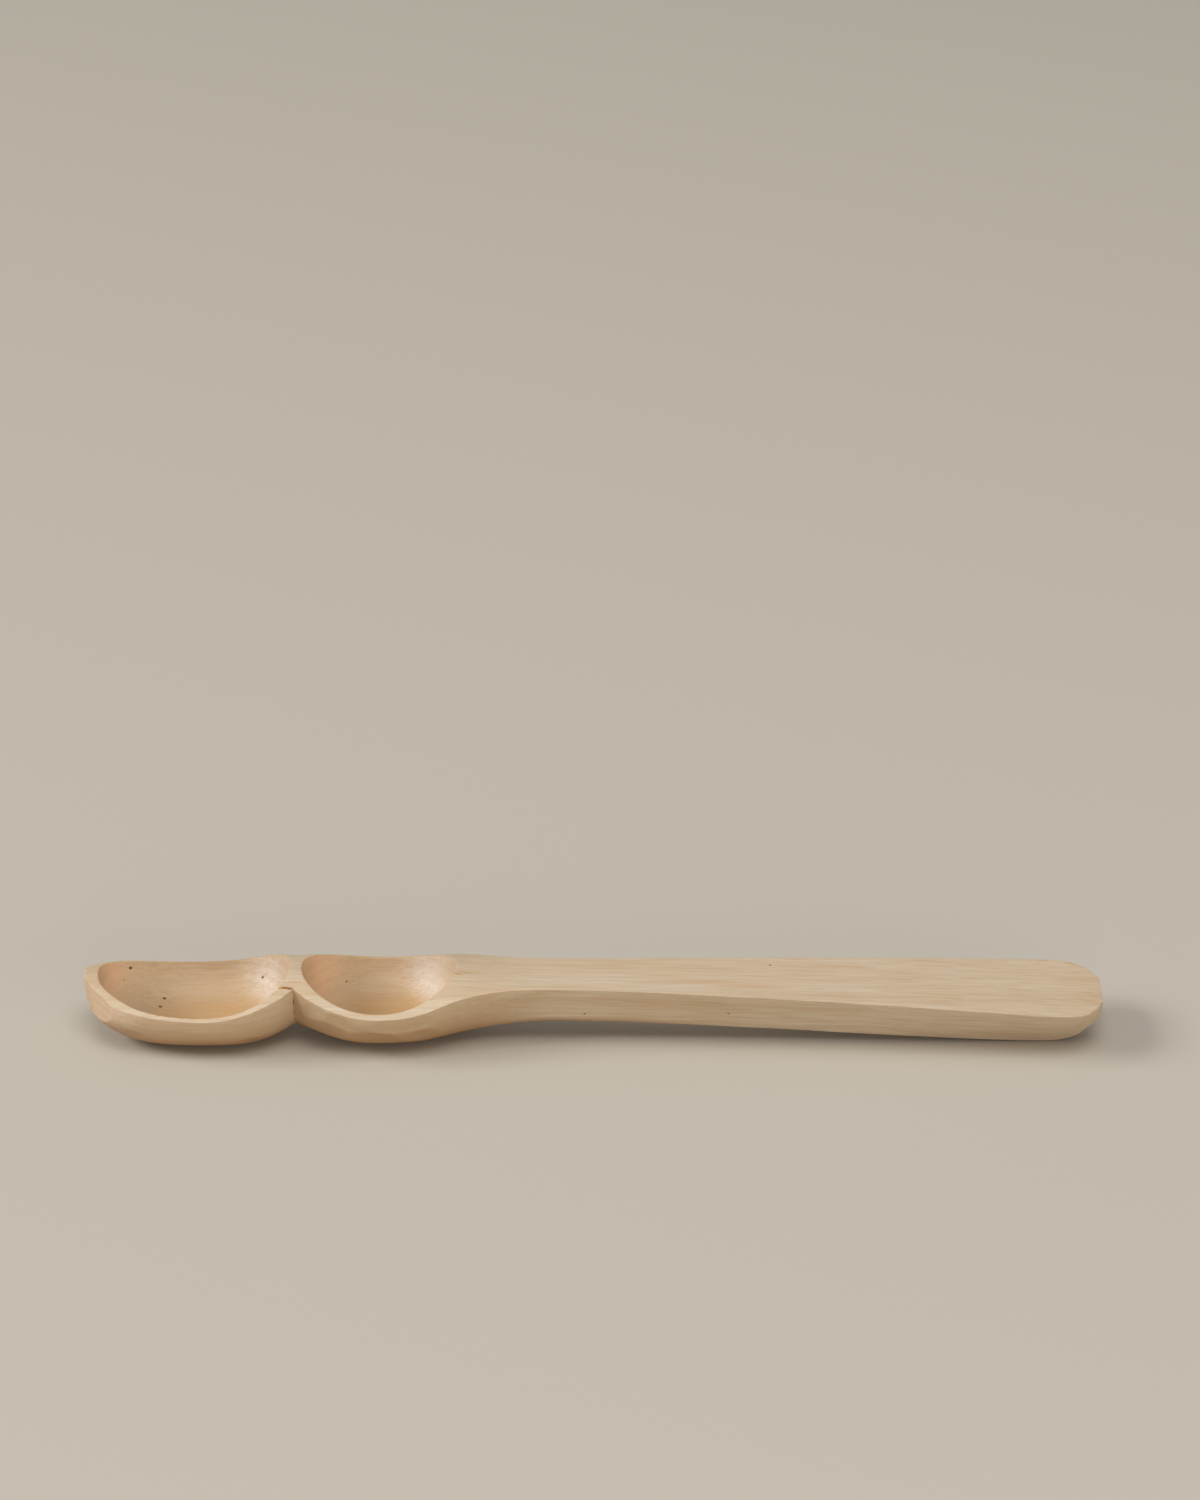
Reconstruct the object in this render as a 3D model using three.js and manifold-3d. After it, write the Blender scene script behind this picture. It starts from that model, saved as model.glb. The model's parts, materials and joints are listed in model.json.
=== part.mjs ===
import * as THREE from 'three';
import { mergeVertices } from 'three/addons/utils/BufferGeometryUtils.js';
import Module from 'manifold-3d';

// A hand-carved wooden spoon: two bowls in line, a sharp notch between them, and a long paddle handle.
// Millimetres. +X runs from the tip of the front bowl to the end of the handle, +Z is up, and the spoon
// lies on z = 0. The spoon is drawn as a plan outline, a crest line and a keel line, and every cross section
// hangs between the three. A station is a distance from the tip, measured along the spoon.

// Lengths along the spoon, from the tip to the end of the handle
const TIP_RIM = 3;
const FRONT_OPENING_LENGTH = 41;
const NECK_BRIDGE = 2.8;
const REAR_OPENING_LENGTH = 33.2;
const ROOT_BRIDGE = 2.4;
const ROOT_LENGTH = 18.6;
const GRIP_LENGTH = 104;
const PADDLE_LENGTH = 15;

// Widths across the spoon
const TIP_WIDTH = 9.6;
const FRONT_OPENING_WIDTH = 27.7;
const FRONT_RIM = 0.8;
const NECK_WIDTH = 17.4;
const REAR_OPENING_WIDTH = 27.7;
const REAR_RIM = 1.3;
const WAIST_WIDTH = 15.3;
const PADDLE_WIDTH = 27.8;
const HANDLE_KEEL_WIDTH = 8;
const KEEL_CHAMFER = 1;

// Heights above the table, along the crest
const TIP_HEIGHT = 14.2;
const NECK_HEIGHT = 16.5;
const ROOT_HEIGHT = 16.1;
const WAIST_HEIGHT = 14.45;
const END_HEIGHT = 10.4;

// Heights above the table, along the keel
const NECK_KEEL_HEIGHT = 3.3;
const WAIST_KEEL_HEIGHT = 5;
const KEEL_CHAMFER_RISE = 1.5;

// Edges, walls and roundings
const TIP_EDGE = 3;
const END_EDGE = 1.2;
const TIP_BOW_LENGTH = 17;
const END_UNDERCUT = 11;
const END_CORNER_RADIUS = 9.5;
const FRONT_CROWN_RADIUS = 20.5;
const REAR_CROWN_RADIUS = 23.5;
const FRONT_FLOOR = 2.6;
const REAR_FLOOR = 2.6;
const REST_FLAT_DEPTH = 0.3;

// Fullness of the curves: 2 is an ellipse, more is squarer, less is more pointed
const FRONT_BELLY_FULLNESS = 2.1;
const REAR_BELLY_FULLNESS = 1.85;
const HOLLOW_FULLNESS = 2.3;
const FRONT_OPENING_FULLNESS = 2.4;
const REAR_OPENING_FULLNESS = 2.1;

// Places along a bowl, as shares of its opening's length, measured from the opening's start
const FRONT_WIDEST = 0.6;
const FRONT_HEEL = 0.76;
const REAR_WIDEST = 0.5;
const REAR_TOE = 0.4;
const REAR_HEEL = 0.72;
const HANDLE_BEGINS = 0.76;

// How a line swings from one fixed place to the next: two handles, each a share of the step along and across
const QUARTER = 0.55;
const PLAN_TIP = [[0.01, 0.55], [0.44, 1]];
const PLAN_FRONT_LOBE = [[0.46, 0], [0.77, 0.36]];
const PLAN_REAR_LOBE = [[0.25, 0.6], [0.58, 1]];
const PLAN_ROOT = [[0.42, 0], [0.5, 1]];
const PLAN_GRIP = [[0.22, 0.05], [0.8, 0.8]];
const CREST_FRONT = [[0.12, 0.55], [0.62, 1]];
const CREST_ROOT = [[0.1, 0.15], [0.45, 0.95]];
const CREST_GRIP = [[0.37, 0.13], [0.75, 0.56]];
const KEEL_BOW = [[0, QUARTER], [1 - QUARTER, 1]];
const KEEL_FRONT_LOBE = [[0.4, 0], [0.7, 0.5]];
const KEEL_REAR_LOBE = [[0.25, 0.23], [0.62, 1]];
const KEEL_ROOT = [[0.27, 0], [0.63, 1]];
const KEEL_GRIP = [[0.2, 0], [0.65, 0.75]];
const KEEL_UNDERCUT = [[QUARTER, 0], [1, 1 - QUARTER]];

// Shares of the half width and of the side's height that the handle's keel and its chamfer may take at most
const KEEL_SHARE = 0.8;
const CHAMFER_SHARE = 0.4;

// Turns, from the edge round to the middle of the keel, at which the handle's bevel and its chamfer end
const BEVEL_ANGLE = Math.PI / 3;
const CHAMFER_ANGLE = Math.PI * 0.375;

// Facets
const CURVE_STEPS = 40;
const TOP_STEPS = 12;
const BELLY_STEPS = 24;
const HOLLOW_SIDES = 64;
const HOLLOW_RINGS = 10;
const STATION_STEP = 2.6;
const END_STEPS = 9;

const WOOD_COLOUR = 0xd8bd96;
const WOOD_ROUGHNESS = 0.62;

// Stations that follow from the lengths
const FRONT_START = TIP_RIM;
const FRONT_END = FRONT_START + FRONT_OPENING_LENGTH;
const NECK = FRONT_END + NECK_BRIDGE / 2;
const REAR_START = FRONT_END + NECK_BRIDGE;
const REAR_END = REAR_START + REAR_OPENING_LENGTH;
const ROOT = REAR_END + ROOT_BRIDGE;
const WAIST = ROOT + ROOT_LENGTH;
const PADDLE = WAIST + GRIP_LENGTH;
const END = PADDLE + PADDLE_LENGTH;
const FRONT_MIDDLE = FRONT_START + FRONT_WIDEST * FRONT_OPENING_LENGTH;
const REAR_MIDDLE = REAR_START + REAR_WIDEST * REAR_OPENING_LENGTH;
const HANDLE_START = REAR_START + HANDLE_BEGINS * REAR_OPENING_LENGTH;

const wasm = await Module();
wasm.setup();

// Reads a drawn path as a function of the station.
function heightOf(path) {
  const points = path.getPoints(CURVE_STEPS);
  return (station) => {
    let index = points.findIndex((point) => point.x >= station);
    index = index < 0 ? points.length - 1 : Math.max(index, 1);
    const before = points[index - 1];
    const after = points[index];
    const span = after.x - before.x;
    const share = span > 0 ? (station - before.x) / span : 1;
    return THREE.MathUtils.lerp(before.y, after.y, THREE.MathUtils.clamp(share, 0, 1));
  };
}

// Continues a path to a new point along one swing.
function sweepTo(path, x, y, [first, second]) {
  const from = path.currentPoint.clone();
  const along = x - from.x;
  const across = y - from.y;
  path.bezierCurveTo(
    from.x + first[0] * along,
    from.y + first[1] * across,
    from.x + second[0] * along,
    from.y + second[1] * across,
    x,
    y,
  );
}

// Half the width of the spoon, seen from above.
function drawPlan() {
  const frontHalf = FRONT_OPENING_WIDTH / 2 + FRONT_RIM;
  const rearHalf = REAR_OPENING_WIDTH / 2 + REAR_RIM;
  const plan = new THREE.Path();
  plan.moveTo(0, TIP_WIDTH / 2);
  sweepTo(plan, FRONT_MIDDLE, frontHalf, PLAN_TIP);
  sweepTo(plan, NECK, NECK_WIDTH / 2, PLAN_FRONT_LOBE);
  sweepTo(plan, REAR_MIDDLE, rearHalf, PLAN_REAR_LOBE);
  sweepTo(plan, WAIST, WAIST_WIDTH / 2, PLAN_ROOT);
  sweepTo(plan, PADDLE, PADDLE_WIDTH / 2, PLAN_GRIP);
  const corner = END_CORNER_RADIUS;
  plan.lineTo(END - corner, PADDLE_WIDTH / 2);
  plan.absarc(END - corner, PADDLE_WIDTH / 2 - corner, corner, Math.PI / 2, 0, true);
  return heightOf(plan);
}

// Height of the top along the middle of the spoon.
function drawCrest() {
  const crest = new THREE.Path();
  crest.moveTo(0, TIP_HEIGHT);
  sweepTo(crest, NECK, NECK_HEIGHT, CREST_FRONT);
  crest.lineTo(REAR_END, ROOT_HEIGHT);
  sweepTo(crest, WAIST, WAIST_HEIGHT, CREST_ROOT);
  sweepTo(crest, END, END_HEIGHT, CREST_GRIP);
  return heightOf(crest);
}

// Height of the underside along the middle of the spoon, below the table where it is cut flat to rest.
function drawKeel() {
  const frontHeel = FRONT_START + FRONT_HEEL * FRONT_OPENING_LENGTH;
  const rearToe = REAR_START + REAR_TOE * REAR_OPENING_LENGTH;
  const rearHeel = REAR_START + REAR_HEEL * REAR_OPENING_LENGTH;
  const keel = new THREE.Path();
  keel.moveTo(0, TIP_HEIGHT - TIP_EDGE);
  sweepTo(keel, TIP_BOW_LENGTH, -REST_FLAT_DEPTH, KEEL_BOW);
  keel.lineTo(frontHeel, -REST_FLAT_DEPTH);
  sweepTo(keel, NECK, NECK_KEEL_HEIGHT, KEEL_FRONT_LOBE);
  sweepTo(keel, rearToe, -REST_FLAT_DEPTH, KEEL_REAR_LOBE);
  keel.lineTo(rearHeel, -REST_FLAT_DEPTH);
  sweepTo(keel, WAIST, WAIST_KEEL_HEIGHT, KEEL_ROOT);
  sweepTo(keel, PADDLE, 0, KEEL_GRIP);
  keel.lineTo(END - END_UNDERCUT, 0);
  sweepTo(keel, END, END_HEIGHT - END_EDGE, KEEL_UNDERCUT);
  return heightOf(keel);
}

const halfWidthAt = drawPlan();
const crestAt = drawCrest();
const keelAt = drawKeel();

// How strongly the top is crowned: round across the bowls, flat along the handle.
function crownAt(station) {
  const frontToRear = THREE.MathUtils.smoothstep(station, FRONT_MIDDLE, NECK);
  const bowls = THREE.MathUtils.lerp(1 / FRONT_CROWN_RADIUS, 1 / REAR_CROWN_RADIUS, frontToRear);
  const fade = THREE.MathUtils.smoothstep(station, HANDLE_START, WAIST);
  return bowls * (1 - fade);
}

// Height of the crowned top surface at a station and a distance from the middle.
function topAt(station, across) {
  const crown = crownAt(station);
  const turn = Math.min(Math.abs(crown * across), 1);
  return crestAt(station) - (crown * across * across) / (1 + Math.sqrt(1 - turn * turn));
}

// A point of an ellipse of the given fullness, for an angle from 0 to 2 pi.
function fullEllipse(angle, fullness) {
  const power = 2 / fullness;
  const c = Math.cos(angle);
  const s = Math.sin(angle);
  return [Math.sign(c) * Math.abs(c) ** power, Math.sign(s) * Math.abs(s) ** power];
}

// A point of the handle's underside: a straight bevel from the edge, a narrow chamfer, then the flat keel.
function handleBelly(angle, half, edge, keel) {
  const side = angle <= Math.PI / 2 ? 1 : -1;
  const turn = side > 0 ? angle : Math.PI - angle;
  const flat = Math.min(HANDLE_KEEL_WIDTH / 2, KEEL_SHARE * half);
  const chamfer = Math.min(KEEL_CHAMFER, CHAMFER_SHARE * (half - flat));
  const rise = Math.min(KEEL_CHAMFER_RISE, CHAMFER_SHARE * (edge - keel));
  const corners = [
    { turn: 0, across: half, height: edge },
    { turn: BEVEL_ANGLE, across: flat + chamfer, height: keel + rise },
    { turn: CHAMFER_ANGLE, across: flat, height: keel },
    { turn: Math.PI / 2, across: 0, height: keel },
  ];
  const next = Math.max(1, corners.findIndex((corner) => corner.turn >= turn));
  const from = corners[next - 1];
  const to = corners[next];
  const share = (turn - from.turn) / (to.turn - from.turn);
  return [
    side * THREE.MathUtils.lerp(from.across, to.across, share),
    THREE.MathUtils.lerp(from.height, to.height, share),
  ];
}

// The closed outline of the spoon at one station, as points across the spoon.
function sectionAt(station) {
  const half = halfWidthAt(station);
  const edge = topAt(station, half);
  const keel = keelAt(station);
  const handleShare = THREE.MathUtils.smoothstep(station, HANDLE_START, WAIST);
  const towardsRear = THREE.MathUtils.smoothstep(station, FRONT_MIDDLE, REAR_MIDDLE);
  const fullness = THREE.MathUtils.lerp(FRONT_BELLY_FULLNESS, REAR_BELLY_FULLNESS, towardsRear);
  const x = station - END / 2;
  const ring = [];
  for (let i = 0; i <= TOP_STEPS; i += 1) {
    const across = half * (1 - (2 * i) / TOP_STEPS);
    ring.push(new THREE.Vector3(x, -across, topAt(station, across)));
  }
  for (let i = BELLY_STEPS - 1; i > 0; i -= 1) {
    const angle = (Math.PI * i) / BELLY_STEPS;
    const [c, s] = fullEllipse(angle, fullness);
    const bowl = [c * half, edge - s * (edge - keel)];
    const handle = handleBelly(angle, half, edge, keel);
    const across = THREE.MathUtils.lerp(bowl[0], handle[0], handleShare);
    const height = THREE.MathUtils.lerp(bowl[1], handle[1], handleShare);
    ring.push(new THREE.Vector3(x, -across, Math.max(height, 0)));
  }
  return ring;
}

// Joins rings of points, and a middle point at each end, into one closed mesh.
function closedLoft(rings, firstMiddle, lastMiddle) {
  const count = rings[0].length;
  const points = rings.flat();
  const positions = [...points, firstMiddle, lastMiddle].flatMap((point) => point.toArray());
  const first = points.length;
  const last = first + 1;
  const start = points.length - count;
  const index = [];
  for (let i = 0; i < count; i += 1) {
    const next = (i + 1) % count;
    for (let ring = 0; ring < rings.length - 1; ring += 1) {
      const here = ring * count;
      const there = here + count;
      index.push(here + i, there + i, here + next);
      index.push(here + next, there + i, there + next);
    }
    index.push(first, i, next);
    index.push(last, start + next, start + i);
  }
  const geometry = new THREE.BufferGeometry();
  geometry.setAttribute('position', new THREE.Float32BufferAttribute(positions, 3));
  geometry.setIndex(index);
  return geometry;
}

function toSolid(geometry) {
  const bare = geometry.clone();
  bare.deleteAttribute('normal');
  bare.deleteAttribute('uv');
  const merged = mergeVertices(bare, 1e-5);
  const vertProperties = new Float32Array(merged.attributes.position.array);
  const triVerts = new Uint32Array(merged.index.array);
  return new wasm.Manifold(new wasm.Mesh({ numProp: 3, vertProperties, triVerts }));
}

function toGeometry(solid) {
  const mesh = solid.getMesh();
  const geometry = new THREE.BufferGeometry();
  geometry.setAttribute('position', new THREE.BufferAttribute(mesh.vertProperties, 3));
  geometry.setIndex(new THREE.BufferAttribute(mesh.triVerts, 1));
  return geometry;
}

// The whole wood between the given stations, each pair of neighbours joined in even steps.
function billet(marks) {
  const stations = [marks[0]];
  for (let i = 1; i < marks.length; i += 1) {
    const span = marks[i] - marks[i - 1];
    const steps = Math.max(1, Math.round(span / STATION_STEP));
    for (let step = 1; step <= steps; step += 1) {
      stations.push(step === steps ? marks[i] : marks[i - 1] + (span * step) / steps);
    }
  }
  const rings = stations.map(sectionAt);
  const middle = (ring) => {
    const sum = ring.reduce((total, point) => total.add(point), new THREE.Vector3());
    return sum.divideScalar(ring.length).setX(ring[0].x).setY(0);
  };
  return closedLoft(rings, middle(rings[0]), middle(rings[rings.length - 1]));
}

// What the gouge takes out of a bowl: straight down through the rim, then round to the floor.
function hollow(start, middle, end, width, floor, fullness) {
  const above = Math.max(NECK_HEIGHT, ROOT_HEIGHT, TIP_HEIGHT);
  const outline = [];
  for (let i = 0; i < HOLLOW_SIDES; i += 1) {
    const angle = (2 * Math.PI * i) / HOLLOW_SIDES;
    const towardsEnd = Math.cos(angle) >= 0;
    const [c, s] = fullEllipse(angle, fullness);
    const along = c * (towardsEnd ? end - middle : middle - start);
    const across = (s * width) / 2;
    outline.push({ along, across, rim: topAt(middle + along, across) });
  }
  const x = middle - END / 2;
  const rings = [outline.map((p) => new THREE.Vector3(x + p.along, p.across, p.rim + above))];
  for (let ring = 0; ring < HOLLOW_RINGS; ring += 1) {
    const [reach, sink] = fullEllipse((Math.PI / 2) * (ring / HOLLOW_RINGS), HOLLOW_FULLNESS);
    rings.push(outline.map((p) => new THREE.Vector3(
      x + p.along * reach,
      p.across * reach,
      THREE.MathUtils.lerp(p.rim, floor, sink),
    )));
  }
  const top = new THREE.Vector3(x, 0, crestAt(middle) + above);
  return closedLoft(rings, top, new THREE.Vector3(x, 0, floor));
}

// Shares from 0 to 1 that crowd together near 0, where the tip and the end turn steeply upwards.
function crowdedShares() {
  const shares = [];
  for (let i = 0; i <= END_STEPS; i += 1) {
    shares.push(1 - Math.cos((Math.PI / 2) * (i / END_STEPS)));
  }
  return shares;
}

function frontBowl() {
  const bow = crowdedShares().map((share) => share * TIP_BOW_LENGTH);
  const wood = toSolid(billet([...bow, FRONT_MIDDLE, NECK]));
  const scoop = hollow(
    FRONT_START,
    FRONT_MIDDLE,
    FRONT_END,
    FRONT_OPENING_WIDTH,
    FRONT_FLOOR,
    FRONT_OPENING_FULLNESS,
  );
  return toGeometry(wood.subtract(toSolid(scoop)));
}

function rearBowl() {
  const wood = toSolid(billet([NECK, REAR_MIDDLE, ROOT]));
  const scoop = hollow(
    REAR_START,
    REAR_MIDDLE,
    REAR_END,
    REAR_OPENING_WIDTH,
    REAR_FLOOR,
    REAR_OPENING_FULLNESS,
  );
  return toGeometry(wood.subtract(toSolid(scoop)));
}

function handle() {
  const undercut = crowdedShares().map((share) => END - share * END_UNDERCUT);
  return billet([ROOT, WAIST, PADDLE, ...undercut.reverse()]);
}

function wood() {
  return new THREE.MeshStandardMaterial({ color: WOOD_COLOUR, roughness: WOOD_ROUGHNESS, metalness: 0 });
}

const spoon = new THREE.Group();
const regions = { front_bowl: frontBowl(), rear_bowl: rearBowl(), handle: handle() };
for (const [name, geometry] of Object.entries(regions)) {
  const mesh = new THREE.Mesh(geometry, wood());
  mesh.name = name;
  spoon.add(mesh);
}

export default spoon;
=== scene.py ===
"""A hand-carved wooden spoon with two bowls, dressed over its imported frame.

The spoon is one piece of wood. Copies of the frame's three solids get knife flats, and are joined and opened
to each other. Then the ends are skewed a little, the notch is drawn in, the corners are shaved and the
surface is worked over finely. A solid grain runs through the wood.
"""

import json
import math

import bpy
from bpy.props import FloatProperty, FloatVectorProperty, IntProperty, PointerProperty
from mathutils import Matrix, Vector
from mathutils.bvhtree import BVHTree

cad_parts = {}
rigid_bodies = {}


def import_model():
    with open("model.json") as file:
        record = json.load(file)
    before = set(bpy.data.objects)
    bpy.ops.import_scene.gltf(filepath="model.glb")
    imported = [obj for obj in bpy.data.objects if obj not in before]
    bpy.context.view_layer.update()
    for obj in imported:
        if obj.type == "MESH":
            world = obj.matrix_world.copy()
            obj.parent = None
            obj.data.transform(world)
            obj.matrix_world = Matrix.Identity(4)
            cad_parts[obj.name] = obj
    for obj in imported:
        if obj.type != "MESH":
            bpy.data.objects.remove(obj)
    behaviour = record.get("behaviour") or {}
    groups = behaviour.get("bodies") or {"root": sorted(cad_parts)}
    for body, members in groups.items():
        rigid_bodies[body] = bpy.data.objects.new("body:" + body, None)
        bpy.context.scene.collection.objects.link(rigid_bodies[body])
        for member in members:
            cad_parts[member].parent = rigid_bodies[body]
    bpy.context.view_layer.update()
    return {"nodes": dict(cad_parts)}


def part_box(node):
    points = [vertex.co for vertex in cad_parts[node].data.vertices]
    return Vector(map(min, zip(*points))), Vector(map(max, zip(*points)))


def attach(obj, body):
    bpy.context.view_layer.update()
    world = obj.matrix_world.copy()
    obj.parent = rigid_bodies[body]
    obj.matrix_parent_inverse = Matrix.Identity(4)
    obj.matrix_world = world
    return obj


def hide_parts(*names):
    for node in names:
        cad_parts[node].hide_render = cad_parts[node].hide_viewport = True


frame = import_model()

bl_info = {
    "name": "Carved Spoon",
    "version": (1, 0, 0),
    "blender": (4, 5, 0),
    "location": "View3D > Sidebar > Spoon",
    "description": "Builds a hand-carved wooden spoon with two bowls, and a plain stage for it",
    "category": "Object",
}

SOLIDS = ("front_bowl", "rear_bowl", "handle")
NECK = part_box("front_bowl")[1].x
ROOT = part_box("handle")[0].x
MM = 0.001

# Long flats that the knife left on the outside of each bowl: the way each cut faces, and its depth in mm
KNIFE_FLATS = {
    "front_bowl": (
        ((-0.30, -0.72, -0.62), 0.28),
        ((0.25, -0.60, -0.76), 0.28),
        ((-0.20, 0.70, -0.68), 0.30),
        ((0.35, 0.60, -0.72), 0.30),
    ),
    "rear_bowl": (
        ((-0.50, -0.83, -0.25), 0.30),
        ((-0.33, -0.89, -0.31), 0.34),
        ((0.08, -0.95, -0.30), 0.30),
        ((0.25, -0.92, -0.30), 0.30),
        ((-0.38, -0.72, -0.58), 0.55),
        ((-0.02, -0.72, -0.69), 0.45),
        ((0.24, -0.72, -0.65), 0.36),
        ((-0.30, 0.74, -0.60), 0.36),
        ((0.20, 0.64, -0.74), 0.32),
    ),
    "handle": (),
}

# Corners that the knife took off: the way each cut faces, and its depth from the outermost point, in mm
SHAVED_CORNERS = (
    ((-0.87, -0.15, 0.47), 0.42),
    ((-0.92, -0.39, -0.06), 1.55),
    ((-0.75, -0.66, -0.06), 1.35),
    ((-0.72, -0.56, -0.40), 0.15),
    ((-0.80, -0.20, -0.56), 0.30),
    ((-0.62, 0.62, -0.48), 0.35),
    ((0.92, -0.39, 0.04), 0.45),
    ((0.80, -0.55, -0.24), 0.42),
    ((0.58, -0.46, -0.67), 0.42),
    ((0.84, 0.44, -0.32), 0.25),
    ((0.52, 0.40, -0.75), 0.35),
)

# Ends that aren't quite square: the point along and across the spoon that each turns about, the length over
# which the turn fades in, its degrees, and how far the end is drawn along. Lengths are in mm
SKEWED_ENDS = (
    ((-105, 0), 9, -5.2, -0.45),
    ((103, -8), 10, 2.7, 0),
)

# Points nearer than the first are one, and what is nearer than the second to a shared plane lies on it
SAME_POINT = 0.001 * MM
ON_PLANE = 0.01 * MM

# Points nearer than the first merge, and slivers under the others go, before and after edges are split
ALMOST_TOUCHING = 0.12 * MM
SLIVER = 0.05 * MM
FINE_SLIVER = 0.02 * MM

# Faces that bend less than this may turn the edge between them
TURNING_BEND = math.radians(12)

# How often all the edges that are too long are split in two
SPLIT_ROUNDS = 6

# The floors of the two hollows: the middle of each along the spoon, and how far from it a face counts
HOLLOW_MIDDLES = (-86.5 * MM, -46.6 * MM)
FLOOR_REACH = 3 * MM

# Share of a normal along the spoon on the solids' shared faces
SHARED_FACING = 0.999

# Upward share of a normal on the hollows' floors, the upper side, the carved underside and the keel
FLOOR_FACING = 0.9
UPPER_FACING = 0.05
LOWER_FACING = -0.08
KEEL_FACING = -0.75

# The keel is sanded from this far in front of the handle's root
KEEL_LEAD = 12 * MM

# How far one stroke of fine paper moves a point to the middle of its neighbours
PAPER_BITE = 0.5

# Level of a texture that leaves a point where it is
UNMOVED = 0.5

# Pin knots: place on the spoon and radius, in mm
PIN_KNOTS = (
    ((-101.53, 9.99, 10.85), 0.46),
    ((-94.16, 7.51, 4.66), 0.44),
    ((-94.82, 4.59, 4.11), 0.46),
    ((-72.71, 10.57, 8.28), 0.38),
    ((-102.73, 7.88, 8.97), 0.27),
    ((-54.28, 10.32, 7.37), 0.27),
    ((38.52, 6.10, 13.47), 0.30),
    ((29.15, -6.62, 8.18), 0.28),
    ((-1.94, -5.40, 7.45), 0.27),
)

# How much longer than wide a pin knot is
KNOT_STRETCH = 1.3

# Tan streaks along the grain: place on the spoon, half length and half width, in mm
TAN_STREAKS = (
    ((-66.9, -7.90, 15.00), 2.6, 0.55),
    ((-64.4, -6.17, 15.55), 2.2, 0.22),
    ((-29.5, -2.75, 15.80), 2.2, 0.62),
    ((-27.2, -1.90, 15.65), 3.0, 0.34),
    ((-97.84, 7.85, 5.99), 1.5, 0.24),
    ((42.5, 6.00, 13.36), 3.2, 0.18),
    ((98.7, 13.53, 10.99), 1.7, 0.36),
    ((105.2, 12.60, 10.67), 2.4, 0.50),
    ((106.8, -1.60, 10.58), 2.8, 0.24),
    ((108.2, -2.90, 10.51), 2.2, 0.26),
    ((105.2, -4.66, 10.68), 3.2, 0.22),
    ((107.3, -5.40, 10.59), 2.6, 0.24),
    ((105.4, 8.20, 10.64), 1.3, 0.26),
)

# Blushes: warmer wood along the handle, and painted shade low in the hollows: place, half length and half
# width, in mm
BLUSHES_AND_LOW_SHADE = (
    ((-84.0, 3.0, 2.9), 19.0, 8.0),
    ((-45.5, 4.5, 3.2), 13.0, 7.5),
    ((23.0, -2.7, 13.9), 13.0, 1.7),
    ((33.5, -4.4, 13.6), 13.0, 1.4),
)

# The stains at the top of the notch: place, half length and half width, in mm
NOTCH_STAINS = (
    ((-66.2, -7.90, 15.00), 1.6, 0.46),
    ((-65.3, -8.05, 14.90), 0.9, 0.55),
)

# Share of a spot's reach within which it has its full strength
SPOT_CORE = 0.35

# The wood's noises: swings per millimetre along, across and up, and for some of them a cut, the two values
# between which the noise is made to go from 0 to 1
GRAIN = {
    "drift": {"scale": (0.011, 0.045, 0.06)},
    "uneven": {"scale": (0.0, 0.09, 0.3), "detail": 1.0, "shift": (7, 0, 0)},
    "patch": {"scale": (0.02, 0.12, 0.2), "shift": (3, 1, 5), "cut": (0.36, 0.66)},
    "band": {
        "scale": (0.008, 0.16, 0.2), "detail": 3.0, "rough": 0.55, "shift": (11, 4, 2), "cut": (0.38, 0.68),
    },
    "line": {
        "scale": (0.024, 0.9, 0.9), "detail": 3.0, "rough": 0.65, "shift": (8, 3, 6), "cut": (0.5, 0.7),
    },
    "thread": {"scale": (0.05, 1.5, 1.5), "rough": 0.6, "shift": (4, 2, 9), "cut": (0.42, 0.66)},
    "fibre": {"scale": (0.05, 2.6, 2.6), "detail": 4.0, "rough": 0.65},
    "hair": {"scale": (0.16, 7.0, 7.0), "rough": 0.6, "shift": (2, 9, 4)},
    "fleck": {"scale": (0.45, 5.0, 5.0), "detail": 1.0, "shift": (5, 5, 1), "cut": (0.66, 0.76)},
    "broken": {"scale": (0.4, 0.4, 1.1), "detail": 1.0, "shift": (1, 6, 3), "cut": (0.4, 0.6)},
}

# How far the growth rings stray, in mm, how fast they dip along the spoon, and how uneven they are, in rings
RING_DRIFT = 2.6
RING_DIP = 0.012
RING_UNEVENNESS = 1.3

# Where each zone of the wood fades in: the value at which it starts, and the value at which it is complete
FADES = {
    # Place along the spoon, in mm
    "bowls_from_handle": (0.0, -35.0),
    "bowls_from_tip": (-109.0, -94.0),
    "tip": (-95.0, -107.0),
    "under_from_handle": (45.0, 0.0),
    "handle": (-10.0, 10.0),
    "ends": (100.0, 109.5),
    # Distance behind the neck, from the neck, above the table and from the long middle, in mm: these place the
    # painted shadow behind the notch and the painted shade along its crease
    "notch_from_behind": (6.0, 1.0),
    "notch_from_ahead": (-0.6, 0.2),
    "crease": (0.17, 0.03),
    "crease_from_top": (15.2, 14.4),
    "crease_from_middle": (4.5, 6.0),
    # Distance from the edge of the nearest hollow, in mm
    "hollow": (0.03, 0.3),
    "rim": (0.34, 0.06),
    # Reach of the painted highlight along the upper far wall of each hollow
    "brow_highlight": (2.4, 0.3),
    # How far the surface leans, in shares of its normal, which also places the painted shade on the sides and
    # underneath and the painted light and shade on the hollows' walls
    "flank": (0.25, 0.7),
    "under": (-0.2, -0.8),
    "left_wall": (0.3, 0.9),
    "right_wall": (-0.33, -0.78),
    "far_wall": (-0.25, -0.75),
    "far_from_left": (0.3, 0.0),
    "cut_across": (0.62, 0.95),
    "turned_away": (0.2, 0.6),
    # Share of a growth ring's width, and strength of the fibres
    "ring_rise": (0.1, 0.8),
    "ring_fall": (1.0, 0.8),
    "fibre": (0.48, 0.72),
}

# The painted light on the right walls of the hollows turns this much to the far side
RIGHT_WALL_TURN = 0.3

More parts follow.
